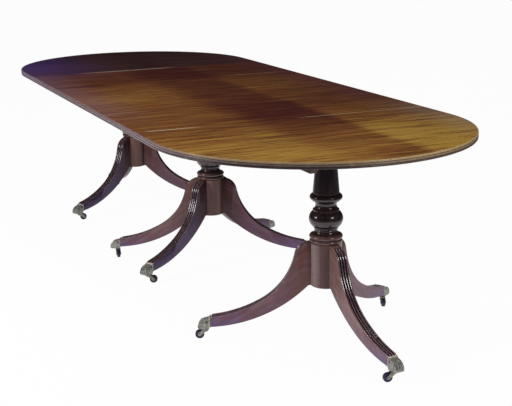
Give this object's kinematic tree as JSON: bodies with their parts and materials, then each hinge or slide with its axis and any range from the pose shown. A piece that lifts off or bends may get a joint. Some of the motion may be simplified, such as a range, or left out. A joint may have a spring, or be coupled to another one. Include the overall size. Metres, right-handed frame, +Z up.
{
  "type": "pedestal dining table",
  "caption": "Long dining table with D-shaped ends and loose leaves, on turned pedestals with reeded sabre legs, brass caps and swivel casters.",
  "frame": {"origin": "middle of the table's length and width, at floor level under the casters", "axes": "+X along the table towards the near D-shaped end, +Y across it, +Z up"},
  "size_m": [3.048, 1.143, 0.737],
  "materials": {
    "top_wood": "french polished mahogany, grain across the table",
    "column_wood": "dark polished mahogany",
    "leg_wood": "polished mahogany",
    "under_wood": "plain dark wood",
    "aged_brass": "aged cast brass",
    "caster_brass": "worn brass",
    "wheel_metal": "dark worn metal"
  },
  "bodies": {
    "centre": {"centre_top": "top_wood", "centre_column": "column_wood", "centre_block": "under_wood", "centre_bearers": "under_wood", "centre_caps": "aged_brass", "centre_leg_1": "leg_wood", "centre_leg_2": "leg_wood", "centre_leg_3": "leg_wood", "centre_leg_4": "leg_wood", "centre_studs": "caster_brass"},
    "near_leaf": {"near_leaf": "top_wood"},
    "near_end": {"near_end_top": "top_wood", "near_column": "column_wood", "near_block": "under_wood", "near_bearers": "under_wood", "near_caps": "aged_brass", "near_leg_1": "leg_wood", "near_leg_2": "leg_wood", "near_leg_3": "leg_wood", "near_end_studs": "caster_brass"},
    "far_leaf": {"far_leaf": "top_wood"},
    "far_end": {"far_end_top": "top_wood", "far_column": "column_wood", "far_block": "under_wood", "far_bearers": "under_wood", "far_caps": "aged_brass", "far_leg_1": "leg_wood", "far_leg_2": "leg_wood", "far_leg_3": "leg_wood", "far_end_studs": "caster_brass"},
    "near_fork_1": {"near_fork_1": "caster_brass"},
    "near_wheel_1": {"near_wheel_1": "wheel_metal"},
    "near_fork_2": {"near_fork_2": "caster_brass"},
    "near_wheel_2": {"near_wheel_2": "wheel_metal"},
    "near_fork_3": {"near_fork_3": "caster_brass"},
    "near_wheel_3": {"near_wheel_3": "wheel_metal"},
    "centre_fork_1": {"centre_fork_1": "caster_brass"},
    "centre_wheel_1": {"centre_wheel_1": "wheel_metal"},
    "centre_fork_2": {"centre_fork_2": "caster_brass"},
    "centre_wheel_2": {"centre_wheel_2": "wheel_metal"},
    "centre_fork_3": {"centre_fork_3": "caster_brass"},
    "centre_wheel_3": {"centre_wheel_3": "wheel_metal"},
    "centre_fork_4": {"centre_fork_4": "caster_brass"},
    "centre_wheel_4": {"centre_wheel_4": "wheel_metal"},
    "far_fork_1": {"far_fork_1": "caster_brass"},
    "far_wheel_1": {"far_wheel_1": "wheel_metal"},
    "far_fork_2": {"far_fork_2": "caster_brass"},
    "far_wheel_2": {"far_wheel_2": "wheel_metal"},
    "far_fork_3": {"far_fork_3": "caster_brass"},
    "far_wheel_3": {"far_wheel_3": "wheel_metal"},
    "near_end_hook_1": {"near_end_hook_1": "caster_brass"},
    "near_end_hook_2": {"near_end_hook_2": "caster_brass"},
    "near_centre_hook_1": {"near_centre_hook_1": "caster_brass"},
    "near_centre_hook_2": {"near_centre_hook_2": "caster_brass"},
    "far_end_hook_1": {"far_end_hook_1": "caster_brass"},
    "far_end_hook_2": {"far_end_hook_2": "caster_brass"},
    "far_centre_hook_1": {"far_centre_hook_1": "caster_brass"},
    "far_centre_hook_2": {"far_centre_hook_2": "caster_brass"}
  },
  "joints": [
    {"name": "near_leaf_slide", "type": "slide", "parent": "centre", "child": "near_leaf", "axis": [1, 0, 0], "range_m": [0, 0.45]},
    {"name": "near_end_slide", "type": "slide", "parent": "near_leaf", "child": "near_end", "axis": [1, 0, 0], "range_m": [0, 0.45]},
    {"name": "far_leaf_slide", "type": "slide", "parent": "centre", "child": "far_leaf", "axis": [-1, 0, 0], "range_m": [0, 0.45]},
    {"name": "far_end_slide", "type": "slide", "parent": "far_leaf", "child": "far_end", "axis": [-1, 0, 0], "range_m": [0, 0.45]},
    {"name": "near_fork_1_swivel", "type": "hinge", "parent": "near_end", "child": "near_fork_1", "pos_m": [1.49248, 0.02933, 0.0377], "axis": [0, 0, 1], "continuous": true},
    {"name": "near_wheel_1_roll", "type": "hinge", "parent": "near_fork_1", "child": "near_wheel_1", "pos_m": [1.48831, 0.0057, 0.016], "axis": [0.9848, -0.1736, 0], "continuous": true},
    {"name": "near_fork_2_swivel", "type": "hinge", "parent": "near_end", "child": "near_fork_2", "pos_m": [0.85142, 0.35738, 0.0377], "axis": [0, 0, 1], "continuous": true},
    {"name": "near_wheel_2_roll", "type": "hinge", "parent": "near_fork_2", "child": "near_wheel_2", "pos_m": [0.87411, 0.34957, 0.016], "axis": [0.3256, 0.9455, 0], "continuous": true},
    {"name": "near_fork_3_swivel", "type": "hinge", "parent": "near_end", "child": "near_fork_3", "pos_m": [0.8821, -0.37467, 0.0377], "axis": [0, 0, 1], "continuous": true},
    {"name": "near_wheel_3_roll", "type": "hinge", "parent": "near_fork_3", "child": "near_wheel_3", "pos_m": [0.87311, -0.39692, 0.016], "axis": [0.9272, -0.3746, 0], "continuous": true},
    {"name": "centre_fork_1_swivel", "type": "hinge", "parent": "centre", "child": "centre_fork_1", "pos_m": [0.20642, 0.36634, 0.0377], "axis": [0, 0, 1], "continuous": true},
    {"name": "centre_wheel_1_roll", "type": "hinge", "parent": "centre_fork_1", "child": "centre_wheel_1", "pos_m": [0.18467, 0.3562, 0.016], "axis": [0.4226, -0.9063, 0], "continuous": true},
    {"name": "centre_fork_2_swivel", "type": "hinge", "parent": "centre", "child": "centre_fork_2", "pos_m": [-0.20642, 0.36634, 0.0377], "axis": [0, 0, 1], "continuous": true},
    {"name": "centre_wheel_2_roll", "type": "hinge", "parent": "centre_fork_2", "child": "centre_wheel_2", "pos_m": [-0.22721, 0.35435, 0.016], "axis": [0.5, -0.866, 0], "continuous": true},
    {"name": "centre_fork_3_swivel", "type": "hinge", "parent": "centre", "child": "centre_fork_3", "pos_m": [-0.20642, -0.36634, 0.0377], "axis": [0, 0, 1], "continuous": true},
    {"name": "centre_wheel_3_roll", "type": "hinge", "parent": "centre_fork_3", "child": "centre_wheel_3", "pos_m": [-0.18279, -0.37051, 0.016], "axis": [0.1736, 0.9848, 0], "continuous": true},
    {"name": "centre_fork_4_swivel", "type": "hinge", "parent": "centre", "child": "centre_fork_4", "pos_m": [0.20642, -0.36634, 0.0377], "axis": [0, 0, 1], "continuous": true},
    {"name": "centre_wheel_4_roll", "type": "hinge", "parent": "centre_fork_4", "child": "centre_wheel_4", "pos_m": [0.2158, -0.34425, 0.016], "axis": [-0.9205, 0.3907, 0], "continuous": true},
    {"name": "far_fork_1_swivel", "type": "hinge", "parent": "far_end", "child": "far_fork_1", "pos_m": [-1.4935, 0, 0.0377], "axis": [0, 0, 1], "continuous": true},
    {"name": "far_wheel_1_roll", "type": "hinge", "parent": "far_fork_1", "child": "far_wheel_1", "pos_m": [-1.49767, 0.02363, 0.016], "axis": [-0.9848, -0.1736, 0], "continuous": true},
    {"name": "far_fork_2_swivel", "type": "hinge", "parent": "far_end", "child": "far_fork_2", "pos_m": [-0.86275, -0.36416, 0.0377], "axis": [0, 0, 1], "continuous": true},
    {"name": "far_wheel_2_roll", "type": "hinge", "parent": "far_fork_2", "child": "far_wheel_2", "pos_m": [-0.86896, -0.34098, 0.016], "axis": [-0.9659, -0.2588, 0], "continuous": true},
    {"name": "far_fork_3_swivel", "type": "hinge", "parent": "far_end", "child": "far_fork_3", "pos_m": [-0.86275, 0.36416, 0.0377], "axis": [0, 0, 1], "continuous": true},
    {"name": "far_wheel_3_roll", "type": "hinge", "parent": "far_fork_3", "child": "far_wheel_3", "pos_m": [-0.8402, 0.37237, 0.016], "axis": [-0.342, 0.9397, 0], "continuous": true},
    {"name": "near_end_hook_1_swing", "type": "hinge", "parent": "near_leaf", "child": "near_end_hook_1", "pos_m": [0.7374, 0.32, 0.7125], "axis": [0, 0, 1], "range_deg": [0, 90]},
    {"name": "near_end_hook_2_swing", "type": "hinge", "parent": "near_leaf", "child": "near_end_hook_2", "pos_m": [0.7374, -0.32, 0.7125], "axis": [0, 0, 1], "range_deg": [-90, 0]},
    {"name": "near_centre_hook_1_swing", "type": "hinge", "parent": "near_leaf", "child": "near_centre_hook_1", "pos_m": [0.4094, 0.32, 0.7125], "axis": [0, 0, 1], "range_deg": [-90, 0]},
    {"name": "near_centre_hook_2_swing", "type": "hinge", "parent": "near_leaf", "child": "near_centre_hook_2", "pos_m": [0.4094, -0.32, 0.7125], "axis": [0, 0, 1], "range_deg": [0, 90]},
    {"name": "far_end_hook_1_swing", "type": "hinge", "parent": "far_leaf", "child": "far_end_hook_1", "pos_m": [-0.7374, 0.32, 0.7125], "axis": [0, 0, 1], "range_deg": [-90, 0]},
    {"name": "far_end_hook_2_swing", "type": "hinge", "parent": "far_leaf", "child": "far_end_hook_2", "pos_m": [-0.7374, -0.32, 0.7125], "axis": [0, 0, 1], "range_deg": [0, 90]},
    {"name": "far_centre_hook_1_swing", "type": "hinge", "parent": "far_leaf", "child": "far_centre_hook_1", "pos_m": [-0.4094, 0.32, 0.7125], "axis": [0, 0, 1], "range_deg": [0, 90]},
    {"name": "far_centre_hook_2_swing", "type": "hinge", "parent": "far_leaf", "child": "far_centre_hook_2", "pos_m": [-0.4094, -0.32, 0.7125], "axis": [0, 0, 1], "range_deg": [-90, 0]}
  ]
}
